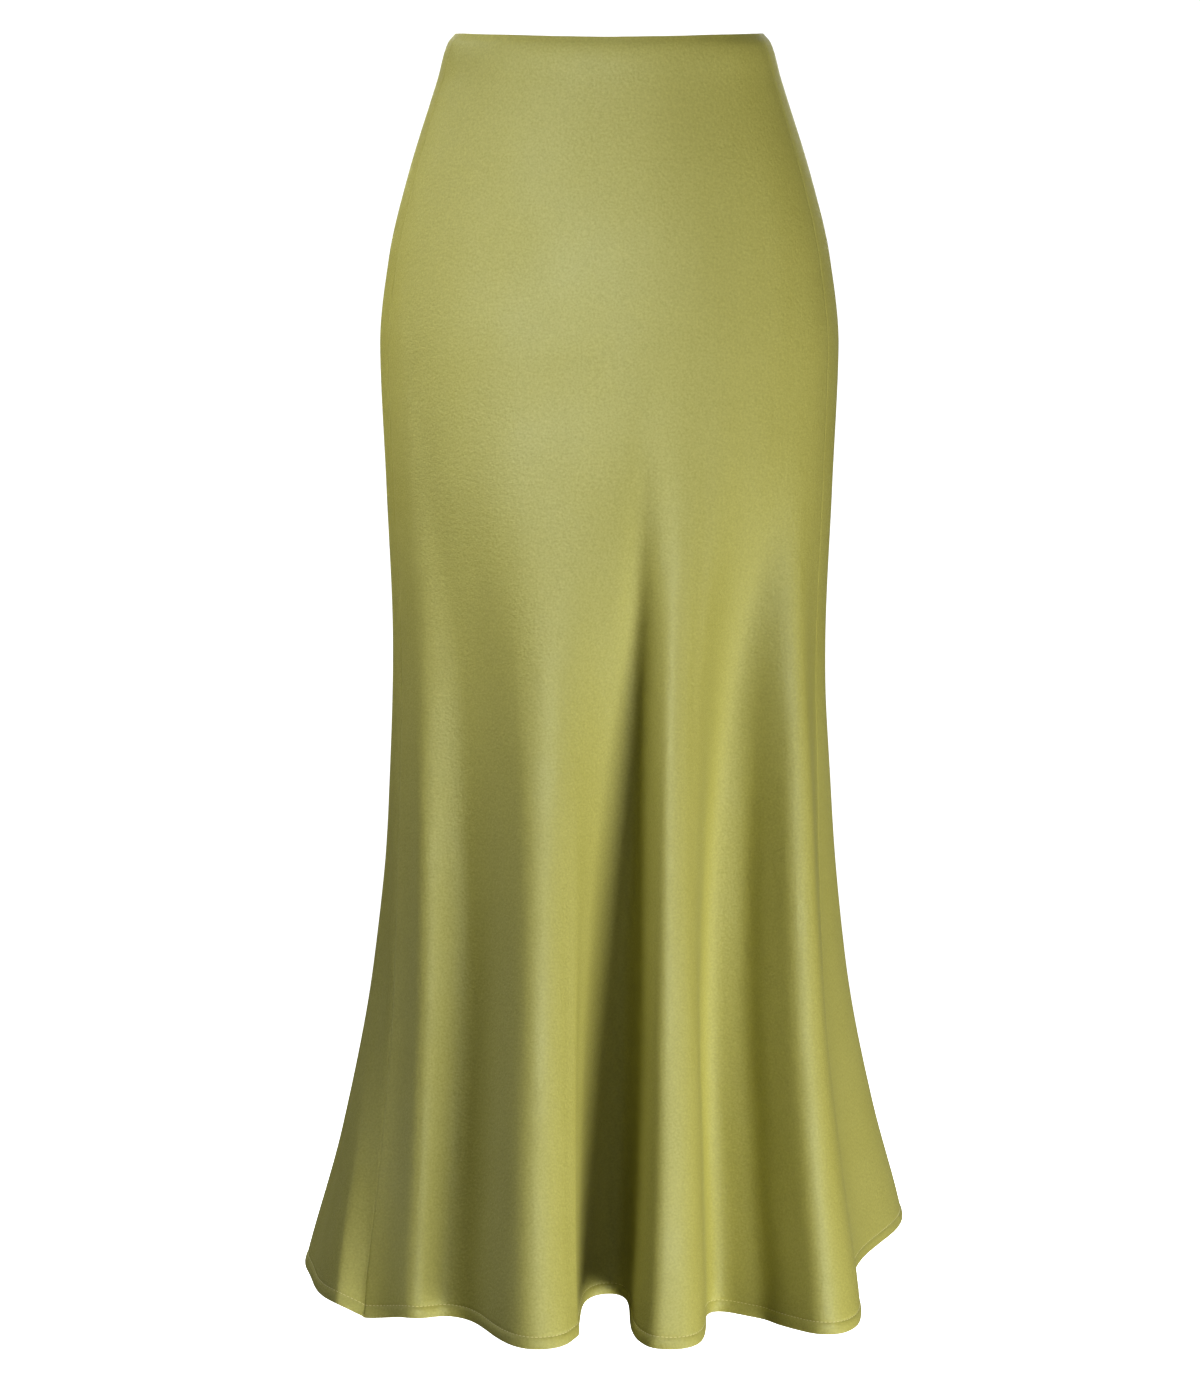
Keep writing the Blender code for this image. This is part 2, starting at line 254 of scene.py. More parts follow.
@dataclass
class SkirtForm:
    """The skirt's outer surface and everything that is measured on it.

    Place round the skirt is counted in folds: 0 is the left side seam, 8 the right one, and 19 the left
    again.
    """

    fold_ease: float = 0.15
    easing: float = 0.07
    sharpening: float = 3.0
    waist_curve: float = 0.0023
    waist_rise: float = 0.0016
    steps_per_fold: int = 64
    seam_depth: float = 0.0003
    seam_width: float = 0.0009
    pucker_height: float = 0.00022
    pucker_reach: float = 0.010
    puckers_per_metre: tuple[float, ...] = (19.0, 27.0, 41.0)
    pucker_strength: tuple[float, float] = (0.5, 1.0)
    pucker_sway: tuple[float, float] = (9.0, 16.0)
    hem_turning: float = 0.008
    hem_puff: float = 0.0006
    hem_fullness: float = 0.7
    stitch_depth: float = 0.0004
    stitch_width: float = 0.0011
    crease_rise: float = 0.45
    crease_fullness: float = 0.8
    ripple_height: float = 0.00045
    ripple_count: int = 26
    ripples_round: tuple[int, int] = (9, 34)
    ripple_strength: tuple[float, float] = (0.4, 1.0)
    ripple_middle: float = 12.0
    ripple_crowd: float = 4.0
    ripple_slant: float = 7.0
    ripple_at_waist: float = 0.35
    ripple_levels: tuple[float, float] = (0.02, 0.35)
    seed: int = 11
    seams: tuple[int, int] = (0, 8)
    count: int = field(init=False, default=len(FOLDS))

    def places(self) -> np.ndarray:
        """The fine columns' places round the skirt, equally spaced in folds."""
        return np.arange(self.count * self.steps_per_fold) / self.steps_per_fold

    def anchors(self, drops: np.ndarray) -> tuple[Grid, Grid, Grid, Grid]:
        """Where each fold's line crosses each level.

        The anchor's bearing turns from the row's start to its hem, and strays by the bow half way. Its reach
        is the oval's, less the inset times the opening, where the opening is
        share^growth * share^2 (1 + ease^2) / (share^2 + ease^2)
        and the share is the part of the fold's length that lies above, so a fold starts softly.

        Args:
            drops: the levels.

        Returns:
            Plan points, unit directions of the cloth there, bearing steps to the next anchor, and shares.
        """
        half_width = smooth_between(column(SECTIONS, "drop"), column(SECTIONS, "half_width"), drops)[:, None]
        half_depth = smooth_between(column(SECTIONS, "drop"), column(SECTIONS, "half_depth"), drops)[:, None]
        start = column(FOLDS, "start")
        share = np.clip((drops[:, None] - start) / (LENGTH - start), 0, None)
        opening = share ** column(FOLDS, "growth") * share**2 * (1 + self.fold_ease**2)
        opening /= share**2 + self.fold_ease**2
        top, hem = np.radians(column(FOLDS, "bearing_start")), np.radians(column(FOLDS, "bearing_hem"))
        bearing = top + (hem - top) * share + np.radians(column(FOLDS, "bow")) * 4 * share * (1 - share)
        oval = 1 / np.sqrt((np.sin(bearing) / half_width) ** 2 + (np.cos(bearing) / half_depth) ** 2)
        reach = oval - column(FOLDS, "inset") * opening
        place = np.stack([reach * np.sin(bearing), -reach * np.cos(bearing)], axis=-1)
        tilt = oval**2 * np.sin(bearing) * np.cos(bearing) * (1 / half_width**2 - 1 / half_depth**2)
        oval_run = bearing + np.arctan(tilt)
        turn = (np.radians(column(FOLDS, "run")) - oval_run + np.pi) % (2 * np.pi) - np.pi
        run = oval_run + turn * np.minimum(share, 1)
        direction = np.stack([np.cos(run), np.sin(run)], axis=-1)
        span = np.roll(bearing, -1, axis=1) - bearing
        span[:, -1] += 2 * np.pi
        return place, direction, span, share

    def smooth_cloth(self, drops: np.ndarray) -> Grid:
        """The cloth without its creases: a cubic from anchor to anchor, then a running mean round the skirt.

        The waist edge dips at front and back and rises at the sides, which dies out at the high hip. Each
        fold's hem drop grows with the fourth power of the level.

        Args:
            drops: the levels of the rows.

        Returns:
            Points, rows by fine columns, closed round the skirt.
        """
        where = self.places()
        here = np.floor(where).astype(int)
        following = (here + 1) % self.count
        place, direction, span, share = self.anchors(drops)
        chord = np.linalg.norm(np.roll(place, -1, axis=1) - place, axis=-1)
        round_arc = 2 * np.tan(np.abs(span) / 4) / np.sin(np.abs(span) / 2)
        fullness = round_arc + (column(FOLDS, "fullness") - 1) * np.minimum(share, 1)
        roundness = 1 + (column(FOLDS, "roundness") - 1) * np.minimum(share * self.sharpening, 1)
        next_roundness, next_direction = np.roll(roundness, -1, axis=1), np.roll(direction, -1, axis=1)
        leaving = (fullness * chord * roundness)[..., None] * direction
        arriving = (fullness * chord * next_roundness)[..., None] * next_direction
        start, start_run, end, end_run = (weight[None, :, None] for weight in cubic_weights(where - here))
        plan = (start * place[:, here] + start_run * leaving[:, here]
                + end * place[:, following] + end_run * arriving[:, here])
        plan[..., 1] += smooth_between(column(SECTIONS, "drop"), column(SECTIONS, "back"), drops)[:, None]
        lower = column(FOLDS, "hem_drop")
        hem_drop = start[0, :, 0] * lower[here] + end[0, :, 0] * lower[following]
        across = np.arctan2(plan[..., 0], -plan[..., 1])
        near_waist = np.clip(1 - drops / SECTIONS[3].drop, 0, 1)[:, None] ** 2
        lift = (self.waist_rise - self.waist_curve * np.cos(across) ** 2) * near_waist
        height = -drops[:, None] + lift - hem_drop * (drops[:, None] / LENGTH) ** 4
        return self.ease_round(np.concatenate([plan, height[..., None]], axis=-1))

    def ease_round(self, points: Grid) -> Grid:
        """Gaussian running mean round the skirt, worked out on the rows' waves.

        Args:
            points: closed rows of points.

        Returns:
            The eased points.
        """
        waves = np.fft.rfftfreq(points.shape[1])
        weight = np.exp(-2 * (np.pi * self.easing * self.steps_per_fold * waves) ** 2)
        return np.fft.irfft(np.fft.rfft(points, axis=1) * weight[None, :, None], n=points.shape[1], axis=1)

    @staticmethod
    def outward(points: Grid, drops: np.ndarray) -> Grid:
        """Unit normals of a closed grid: down the skirt crossed with round it.

        Args:
            points: closed rows of points.
            drops: the rows' levels.

        Returns:
            A unit vector at each point, pointing away from the wearer.
        """
        round_skirt = np.roll(points, -1, axis=1) - np.roll(points, 1, axis=1)
        down_skirt = np.gradient(points, drops, axis=0)
        normal = np.cross(down_skirt, round_skirt)
        return normal / np.linalg.norm(normal, axis=-1, keepdims=True)

    @staticmethod
    def girth_run(points: Grid) -> Grid:
        """Distance along each closed row from its first column. One more column holds the whole girth.

        Args:
            points: closed rows of points.

        Returns:
            Distances in metres, one column more than the points.
        """
        step = np.linalg.norm(np.roll(points, -1, axis=1) - points, axis=-1)
        return np.concatenate([np.zeros((len(points), 1)), np.cumsum(step, axis=1)], axis=1)

    def run_at(self, run: Grid, places: np.ndarray) -> np.ndarray:
        """Distance along each row of one place per row, read between the fine columns.

        Args:
            run: the rows' distances from `girth_run`.
            places: one place round the skirt for each row.

        Returns:
            One distance for each row.
        """
        position = np.clip(places, 0, self.count) * self.steps_per_fold
        low = np.minimum(np.floor(position).astype(int), run.shape[1] - 2)
        row = np.arange(len(run))
        return run[row, low] + (run[row, low + 1] - run[row, low]) * (position - low)

    def crease_relief(self, run: Grid, drops: np.ndarray) -> Grid:
        """Height of all creases: each a bell across its line.

        A crease that ends above the hem fades at both ends as sin(pi * share) ^ fullness, and one that runs
        out at the hem rises from its top over the first part of its length. The left seam's crease has two
        rows, one on each side, because the count of places starts there.

        Args:
            run: the rows' distances.
            drops: the rows' levels.

        Returns:
            Height above the smooth cloth at each fine column.
        """
        relief = np.zeros((len(drops), run.shape[1] - 1))
        for crease in CREASES:
            along = (drops - crease.top[1]) / (crease.foot[1] - crease.top[1])
            swell = np.sin(np.pi * np.clip(along, 0, 1))
            runs_out = crease.foot[1] >= LENGTH
            fade = soft_step(along, 0, self.crease_rise) if runs_out else swell**self.crease_fullness
            line = crease.top[0] + (crease.foot[0] - crease.top[0]) * along + crease.bow * swell
            away = run[:, :-1] - self.run_at(run, line)[:, None]
            relief += crease.height * fade[:, None] * bell(away, crease.width)
        return relief

    def ripple_relief(self, run: Grid, drops: np.ndarray) -> Grid:
        """Faint unevenness of hanging cloth: a sum of long soft waves, seeded, longer down than across.

        A wave's weight is its strength times middle / its count round the skirt. The sum is divided by the
        crowd, about the highest that so many waves reach together, and calmed towards the waist.

        Args:
            run: the rows' distances.
            drops: the rows' levels.

        Returns:
            Height above the smooth cloth at each fine column.
        """
        draw = np.random.default_rng(self.seed)
        turn = 2 * np.pi * run[:, :-1] / run[:, -1:]
        relief = np.zeros_like(turn)
        for waves_round in draw.integers(*self.ripples_round, size=self.ripple_count):
            waves_down = draw.uniform(-self.ripple_slant, self.ripple_slant)
            phase = draw.uniform(0, 2 * np.pi)
            weight = draw.uniform(*self.ripple_strength) * self.ripple_middle / waves_round
            relief += weight * np.sin(waves_round * turn + waves_down * drops[:, None] * np.pi + phase)
        freed = soft_step(drops, *self.ripple_levels)[:, None]
        calm_waist = self.ripple_at_waist + (1 - self.ripple_at_waist) * freed
        return self.ripple_height * relief / self.ripple_crowd * calm_waist

    def seam_relief(self, run: Grid, drops: np.ndarray) -> Grid:
        """Furrow of the side seams, with small puckers beside it that die out within a finger's width.

        Args:
            run: the rows' distances.
            drops: the rows' levels.

        Returns:
            Height above the smooth cloth at each fine column.
        """
        draw = np.random.default_rng(self.seed + 1)
        relief = np.zeros((len(drops), run.shape[1] - 1))
        for seam in self.seams:
            away = run[:, :-1] - run[:, seam * self.steps_per_fold][:, None]
            away = (away + run[:, -1:] / 2) % run[:, -1:] - run[:, -1:] / 2
            pucker = np.zeros_like(drops)
            for waves_down in self.puckers_per_metre:
                strength, sway = draw.uniform(*self.pucker_strength), draw.uniform(*self.pucker_sway)
                swell = strength * (1 + np.sin(drops * sway + draw.uniform(0, 6)))
                pucker += swell * np.sin(2 * np.pi * waves_down * drops + draw.uniform(0, 2 * np.pi))
            height = self.pucker_height * pucker[:, None] / len(self.puckers_per_metre)
            relief += height * np.exp(-np.abs(away) / self.pucker_reach)
            relief -= self.seam_depth * bell(away, self.seam_width)
        return relief

    def hem_relief(self, drops: np.ndarray) -> np.ndarray:
        """Puff of the turned hem between its edge and the furrow that the stitches pull in.

        The puff is sin(pi * share of the turning) ^ fullness, and the furrow is a bell.

        Args:
            drops: the rows' levels.

        Returns:
            Height above the smooth cloth for each row.
        """
        above_edge = LENGTH - drops
        puff = np.sin(np.pi * np.clip(above_edge / self.hem_turning, 0, 1)) ** self.hem_fullness
        furrow = bell(above_edge - self.hem_turning, self.stitch_width)
        return self.hem_puff * puff - self.stitch_depth * furrow

    def surface(self, drops: np.ndarray) -> tuple[Grid, Grid, Grid]:
        """The finished outer surface: smooth cloth moved out along its normal by every relief.

        Args:
            drops: the rows' levels.

        Returns:
            Points, unit normals and distances round the skirt.
        """
        points = self.smooth_cloth(drops)
        normal = self.outward(points, drops)
        run = self.girth_run(points)
        relief = self.crease_relief(run, drops) + self.ripple_relief(run, drops)
        relief += self.seam_relief(run, drops)
        relief += self.hem_relief(drops)[:, None]
        points = points + normal * relief[..., None]
        return points, self.outward(points, drops), run

    def read_columns(self, grid: Grid, places: np.ndarray) -> Grid:
        """Values at any places round the skirt: a cubic through the four nearest fine columns.

        Args:
            grid: rows by fine columns, with or without a last axis.
            places: places round the skirt in folds.

        Returns:
            Rows by places.
        """
        position = places * self.steps_per_fold
        low = np.floor(position).astype(int)
        t = (position - low).reshape((1, -1) + (1,) * (grid.ndim - 2))
        size = self.count * self.steps_per_fold
        before, here, after, beyond = (grid[:, (low + shift) % size] for shift in (-1, 0, 1, 2))
        start, start_run, end, end_run = cubic_weights(t)
        return start * here + start_run * (after - before) / 2 + end * after + end_run * (beyond - here) / 2


@dataclass(frozen=True)
class SatinFinish:
    """Soft satin: a dull cloth body under a broad gloss, with a mottled grain and a pebbled, woven face."""

    name: str
    colour: Colour
    shade: Colour
    roughness: float = 0.58
    roughness_spread: float = 0.05
    gloss: float = 1.0
    gloss_tint: Colour = (0.84, 1.0, 1.0, 1.0)
    sheen: float = 0.12
    sheen_roughness: float = 0.5
    sheen_tint: Colour = (0.86, 0.88, 0.55, 1.0)
    grain_per_metre: float = 680.0
    grain_share: float = 0.9
    grain_range: tuple[float, float] = (0.25, 0.75)
    cloud_per_metre: float = 14.0
    cloud_range: tuple[float, float] = (0.3, 0.7)
    pebble_per_metre: float = 430.0
    weave_per_metre: float = 2000.0
    weave_share: float = 0.3
    weave_waver: float = 1.5
    bump_strength: float = 0.65
    bump_height: float = 0.00060

    def material(self) -> bpy.types.Material:
        """Build the node material.

        Returns:
            A Principled material whose colour and gloss vary with a fine grain.
        """
        material = bpy.data.materials.new(self.name)
        material.use_nodes = True
        tree = material.node_tree
        shader = tree.nodes["Principled BSDF"]
        shader.inputs["Metallic"].default_value = 0.0
        shader.inputs["Specular IOR Level"].default_value = self.gloss
        shader.inputs["Specular Tint"].default_value = self.gloss_tint
        shader.inputs["Sheen Weight"].default_value = self.sheen
        shader.inputs["Sheen Roughness"].default_value = self.sheen_roughness
        shader.inputs["Sheen Tint"].default_value = self.sheen_tint
        place = tree.nodes.new("ShaderNodeTexCoord")
        grain = self.noise(tree, place, self.grain_per_metre, 2.0)
        pebble = self.noise(tree, place, self.pebble_per_metre, 1.0)
        cloud = self.noise(tree, place, self.cloud_per_metre, 3.0)
        weave = self.weave(tree)
        tint = tree.nodes.new("ShaderNodeMix")
        tint.data_type = "RGBA"
        tint.inputs["A"].default_value = self.shade
        tint.inputs["B"].default_value = self.colour
        half = self.grain_share / 2
        mottle = self.rescale(tree, grain, self.grain_range, (0.5 - half, 0.5 + half))
        tree.links.new(mottle, tint.inputs["Factor"])
        tree.links.new(tint.outputs["Result"], shader.inputs["Base Color"])
        dull = (self.roughness - self.roughness_spread, self.roughness + self.roughness_spread)
        tree.links.new(self.rescale(tree, cloud, self.cloud_range, dull), shader.inputs["Roughness"])
        height = tree.nodes.new("ShaderNodeMath")
        height.operation = "MULTIPLY_ADD"
        height.inputs[1].default_value = self.weave_share
        tree.links.new(weave, height.inputs[0])
        tree.links.new(pebble.outputs[0], height.inputs[2])
        bump = tree.nodes.new("ShaderNodeBump")
        bump.inputs["Strength"].default_value = self.bump_strength
        bump.inputs["Distance"].default_value = self.bump_height
        tree.links.new(height.outputs[0], bump.inputs["Height"])
        tree.links.new(bump.outputs["Normal"], shader.inputs["Normal"])
        return material

    @staticmethod
    def rescale(tree: bpy.types.NodeTree, noise: bpy.types.Node, given: tuple[float, float],
                wanted: tuple[float, float]) -> bpy.types.NodeSocket:
        """Carry a noise from one range of values to another in a straight line.

        Args:
            tree: the material's nodes.
            noise: the noise node.
            given: the noise's low and high value.
            wanted: what they become.

        Returns:
            The new value.
        """
        carry = tree.nodes.new("ShaderNodeMapRange")
        carry.inputs["From Min"].default_value, carry.inputs["From Max"].default_value = given
        carry.inputs["To Min"].default_value, carry.inputs["To Max"].default_value = wanted
        tree.links.new(noise.outputs[0], carry.inputs["Value"])
        return carry.outputs["Result"]

    @staticmethod
    def noise(tree: bpy.types.NodeTree, place: bpy.types.Node, scale: float, detail: float) -> bpy.types.Node:
        """A noise that sits still on the cloth.

        Args:
            tree: the material's nodes.
            place: the coordinates' node.
            scale: waves per metre.
            detail: how many finer layers it has.

        Returns:
            The noise node.
        """
        noise = tree.nodes.new("ShaderNodeTexNoise")
        noise.inputs["Scale"].default_value = scale
        noise.inputs["Detail"].default_value = detail
        tree.links.new(place.outputs["Object"], noise.inputs["Vector"])
        return noise

    def weave(self, tree: bpy.types.NodeTree) -> bpy.types.NodeSocket:
        """The satin's floats: fine lines at 45 degrees to the skirt's length for a bias cut.

        The wave node turns 20 * scale radians a metre, so scale = 2 pi * lines a metre / 20.

        Args:
            tree: the material's nodes.

        Returns:
            The lines' height.
        """
        cut = tree.nodes.new("ShaderNodeUVMap")
        cut.uv_map = "cloth"
        turn = tree.nodes.new("ShaderNodeMapping")
        turn.inputs["Rotation"].default_value = (0.0, 0.0, np.pi / 4)
        lines = tree.nodes.new("ShaderNodeTexWave")
        lines.inputs["Scale"].default_value = self.weave_per_metre * 2 * np.pi / 20
        lines.inputs["Distortion"].default_value = self.weave_waver
        lines.inputs["Detail"].default_value = 1.0
        tree.links.new(cut.outputs["UV"], turn.inputs["Vector"])
        tree.links.new(turn.outputs["Vector"], lines.inputs["Vector"])
        return lines.outputs["Fac"]


@dataclass(frozen=True)
class ThreadFinish:
    """Spun sewing thread."""

    name: str
    colour: Colour
    roughness: float = 0.55
    sheen: float = 0.2

    def material(self) -> bpy.types.Material:
        """Build the plain thread material.

        Returns:
            A matt material of one colour.
        """
        material = bpy.data.materials.new(self.name)
        material.use_nodes = True
        shader = material.node_tree.nodes["Principled BSDF"]
        shader.inputs["Base Color"].default_value = self.colour
        shader.inputs["Roughness"].default_value = self.roughness
        shader.inputs["Sheen Weight"].default_value = self.sheen
        return material


@dataclass(frozen=True)
class StudioFinish:
    """Pale floor of the studio, lit evenly by itself."""

    name: str
    colour: Colour
    glow: float

    def material(self) -> bpy.types.Material:
        """Build the floor material.

        Returns:
            A white material that gives off its own even light.
        """
        material = bpy.data.materials.new(self.name)
        material.use_nodes = True
        shader = material.node_tree.nodes["Principled BSDF"]
        shader.inputs["Base Color"].default_value = self.colour
        shader.inputs["Roughness"].default_value = 1.0
        shader.inputs["Specular IOR Level"].default_value = 0.0
        shader.inputs["Emission Color"].default_value = self.colour
        shader.inputs["Emission Strength"].default_value = self.glow
        return material


SATIN = SatinFinish("olive_gold_satin", (0.468, 0.438, 0.109, 1.0), (0.360, 0.326, 0.061, 1.0))
# The hem band's satin is the same satin painted 7% darker: painted shade for the band inside the skirt.
TURNED_SATIN_PAINTED_SHADE = SatinFinish("olive_gold_satin_turned", (0.435, 0.407, 0.101, 1.0), (0.335, 0.303, 0.057, 1.0))
HEM_THREAD = ThreadFinish("hem_thread", (0.74, 0.70, 0.36, 1.0))
FLOOR_FINISH = StudioFinish("studio_floor", (1.0, 1.0, 1.0, 1.0), 1.0)


def make_mesh(name: str, points: Grid, faces: list, material: bpy.types.Material,
              cloth_map: Grid | None = None, sharp_above: float = 60.0) -> bpy.types.Object:
    """Put computed points and faces into a smooth-shaded object at the origin.

    Args:
        name: the object's name.
        points: vertices, any shape ending in 3.
        faces: lists of vertex numbers.
        material: its only material.
        cloth_map: flat place of each vertex on the cut cloth, in metres.
        sharp_above: edges that turn more than this many degrees stay crisp.

    Returns:
        The linked object.
    """
    mesh = bpy.data.meshes.new(name)
    mesh.from_pydata(points.reshape(-1, 3).tolist(), [], faces)
    mesh.materials.append(material)
    if cloth_map is not None:
        corners = np.empty(len(mesh.loops), dtype=np.int32)
        mesh.loops.foreach_get("vertex_index", corners)
        layer = mesh.uv_layers.new(name="cloth")
        layer.uv.foreach_set("vector", cloth_map.reshape(-1, 2)[corners].astype(np.float32).ravel())
    mesh.shade_smooth()
    mesh.set_sharp_from_angle(angle=np.radians(sharp_above))
    piece = bpy.data.objects.new(name, mesh)
    bpy.context.scene.collection.objects.link(piece)
    return piece


def grid_faces(numbers: np.ndarray) -> list:
    """Four-sided faces of a grid of vertex numbers, in the order that faces outward on the skirt.

    Args:
        numbers: vertex numbers, rows by columns.

    Returns:
        Faces as lists.
    """
    quads = np.stack([numbers[:-1, :-1], numbers[1:, :-1], numbers[1:, 1:], numbers[:-1, 1:]], axis=-1)
    return quads.reshape(-1, 4).tolist()


def shell(name: str, outer: Grid, inner: Grid, flat: Grid, material: bpy.types.Material,
          edge_steps: int = 5) -> bpy.types.Object:
    """A thin closed sheet between two grids, with its upper and lower edges rounded.

    Each column's section is one closed loop: down the outer face, round the lower edge on a half circle, up
    the inner face and round the upper edge. Flat ends close the first and last columns.

    Args:
        name: the object's name.
        outer: outer points, rows by columns.
        inner: inner points of the same size.
        flat: each outer point's place on the cut cloth.
        material: the sheet's material.
        edge_steps: points round each edge.

    Returns:
        The linked object.
    """
    angle = np.linspace(0, np.pi, edge_steps + 2)[1:-1, None, None]

    def edge(first: Grid, second: Grid, beyond: Grid) -> Grid:
        """Half circle from one face to the other, bulging beyond the cloth's end."""
        away = beyond / np.linalg.norm(beyond, axis=-1, keepdims=True)
        half = np.linalg.norm(second - first, axis=-1, keepdims=True) / 2
        middle = (first + second) / 2
        return middle + (first - middle) * np.cos(angle) + away * half * np.sin(angle)

    lower = edge(outer[-1], inner[-1], outer[-1] - outer[-3])
    upper = edge(inner[0], outer[0], outer[0] - outer[2])
    loop = np.concatenate([outer, lower, inner[::-1], upper])
    spread = np.concatenate([flat, np.repeat(flat[-1:], edge_steps, axis=0), flat[::-1],
                             np.repeat(flat[:1], edge_steps, axis=0)])
    numbers = np.arange(loop.shape[0] * loop.shape[1]).reshape(loop.shape[:2])
    faces = grid_faces(np.concatenate([numbers, numbers[:1]]))
    rows = len(outer)
    inner_rows = numbers[rows + edge_steps:2 * rows + edge_steps][::-1]
    for side, flip in ((0, False), (-1, True)):
        strip = np.stack([numbers[1:rows, side], numbers[:rows - 1, side],
                          inner_rows[:-1, side], inner_rows[1:, side]], axis=-1)
        low = numbers[rows - 1:rows + edge_steps + 1, side]
        high = np.append(numbers[2 * rows + edge_steps - 1:, side], numbers[0, side])
        ends = strip.tolist() + [low[::-1].tolist(), high[::-1].tolist()]
        faces.extend([end[::-1] for end in ends] if flip else ends)
    return make_mesh(name, loop, faces, material, spread)


@dataclass
class Panel:
    """One cut panel, from side seam to side seam, waist edge to hem.

    `first` and `last` are its seams' places round the skirt. The cloth is thicker by `turned_cloth` where the
    waist edge and the seams are turned in. `edge_rows` and `hem_rows_mm` are the close rows' distances from
    the waist edge and from the hem, and `beside_seam` the close columns' distances from a seam, in folds.
    """

    form: SkirtForm
    side: Side
    first: int
    last: int
    columns_per_fold: int
    flat: tuple[float, float]
    area: float
    cloth: float = 0.0009
    seam_gap: float = 0.0001
    turned_waist: float = 0.012
    turned_cloth: float = 0.0005
    turned_step: float = 0.0012
    seam_turning: float = 0.010
    seam_step: float = 0.001
    rows_between: int = 168
    edge_rows: tuple[float, ...] = (0.0, 0.0006, 0.0014, 0.0025, 0.004, 0.006, 0.0085)
    hem_rows_mm: tuple[float, ...] = (11.0, 9.6, 8.8, 8.3, 8.0, 7.7, 7.2, 6.4,
                                      5.2, 4.0, 2.8, 1.7, 0.9, 0.4, 0.0)
    beside_seam: tuple[float, ...] = (0.002, 0.007, 0.015, 0.026)

    def drops(self) -> np.ndarray:
        """Levels of the rows: close together at the waist edge and at the hem, even between."""
        top, above_hem = np.array(self.edge_rows), np.array(self.hem_rows_mm) / 1000
        even = np.linspace(top[-1], LENGTH - above_hem[0], self.rows_between + 2)[1:-1]
        return np.concatenate([top, even, LENGTH - above_hem])

    def columns(self) -> np.ndarray:
        """Places of the columns: even, with a few more beside each seam to follow its furrow."""
        even = np.linspace(self.first, self.last, (self.last - self.first) * self.columns_per_fold + 1)
        beside = np.array(self.beside_seam)
        return np.sort(np.concatenate([even, self.first + beside, self.last - beside]))

    def build(self, material: bpy.types.Material) -> bpy.types.Object:
        """Make the panel's sheet.

        Args:
            material: its satin.

        Returns:
            The panel, riding on the skirt in place of its CAD node.
        """
        drops, columns = self.drops(), self.columns()
        points, normal, _ = self.form.surface(drops)
        outer = self.form.read_columns(points, columns)
        out = self.form.read_columns(normal, columns)
        out /= np.linalg.norm(out, axis=-1, keepdims=True)
        for end, beside in ((0, 1), (-1, -2)):
            back = outer[:, beside] - outer[:, end]
            outer[:, end] += back / np.linalg.norm(back, axis=-1, keepdims=True) * self.seam_gap / 2
        along = np.concatenate([np.zeros((len(drops), 1)),
                                np.cumsum(np.linalg.norm(np.diff(outer, axis=1), axis=-1), axis=1)], axis=1)
        from_seam = np.minimum(along, along[:, -1:] - along)
        turned = 1 - soft_step(drops, self.turned_waist, self.turned_waist + self.turned_step)
        thickness = self.cloth + self.turned_cloth * np.maximum(
            turned[:, None], 1 - soft_step(from_seam, self.seam_turning - self.seam_step, self.seam_turning))
        inner = outer - out * thickness[..., None]
        flat = np.stack([along - along[:, -1:] / 2, np.broadcast_to(-drops[:, None], along.shape)], axis=-1)
        piece = shell(f"{self.side.value}_panel_cloth", outer, inner, flat, material)
        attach(piece, "root")
        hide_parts(f"{self.side.value}_panel")
        return piece


